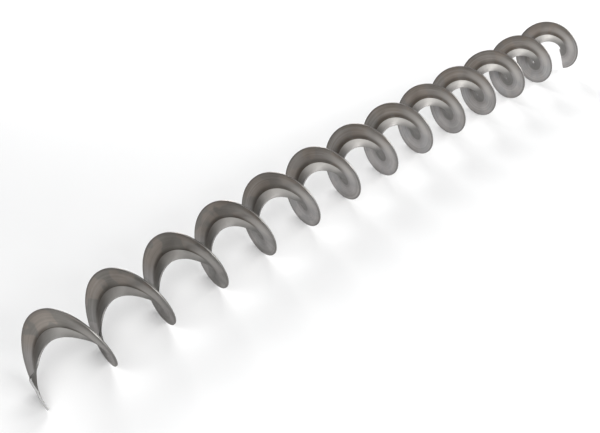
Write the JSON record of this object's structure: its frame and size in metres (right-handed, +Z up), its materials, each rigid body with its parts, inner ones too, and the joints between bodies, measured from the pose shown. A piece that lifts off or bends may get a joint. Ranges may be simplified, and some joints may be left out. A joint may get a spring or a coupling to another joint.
{
  "type": "auger flight",
  "caption": "Right-hand steel screw flight with an open middle, a shallow crease round its inner band and both ends cut square; turned, it carries loose material along.",
  "frame": {"origin": "on the floor under the middle of the length, centred on the bounding box", "axes": "+X along the flight from the near cut to the far cut, +Z up from the floor it lies on; the middle is bowed towards +Y"},
  "size_m": [2.6204, 0.2672, 0.2286],
  "materials": {
    "bare_steel": "bare rolled steel, dull, with roll marks and darker mill scale"
  },
  "bodies": {
    "root": {"flight": "bare_steel"}
  },
  "joints": []
}
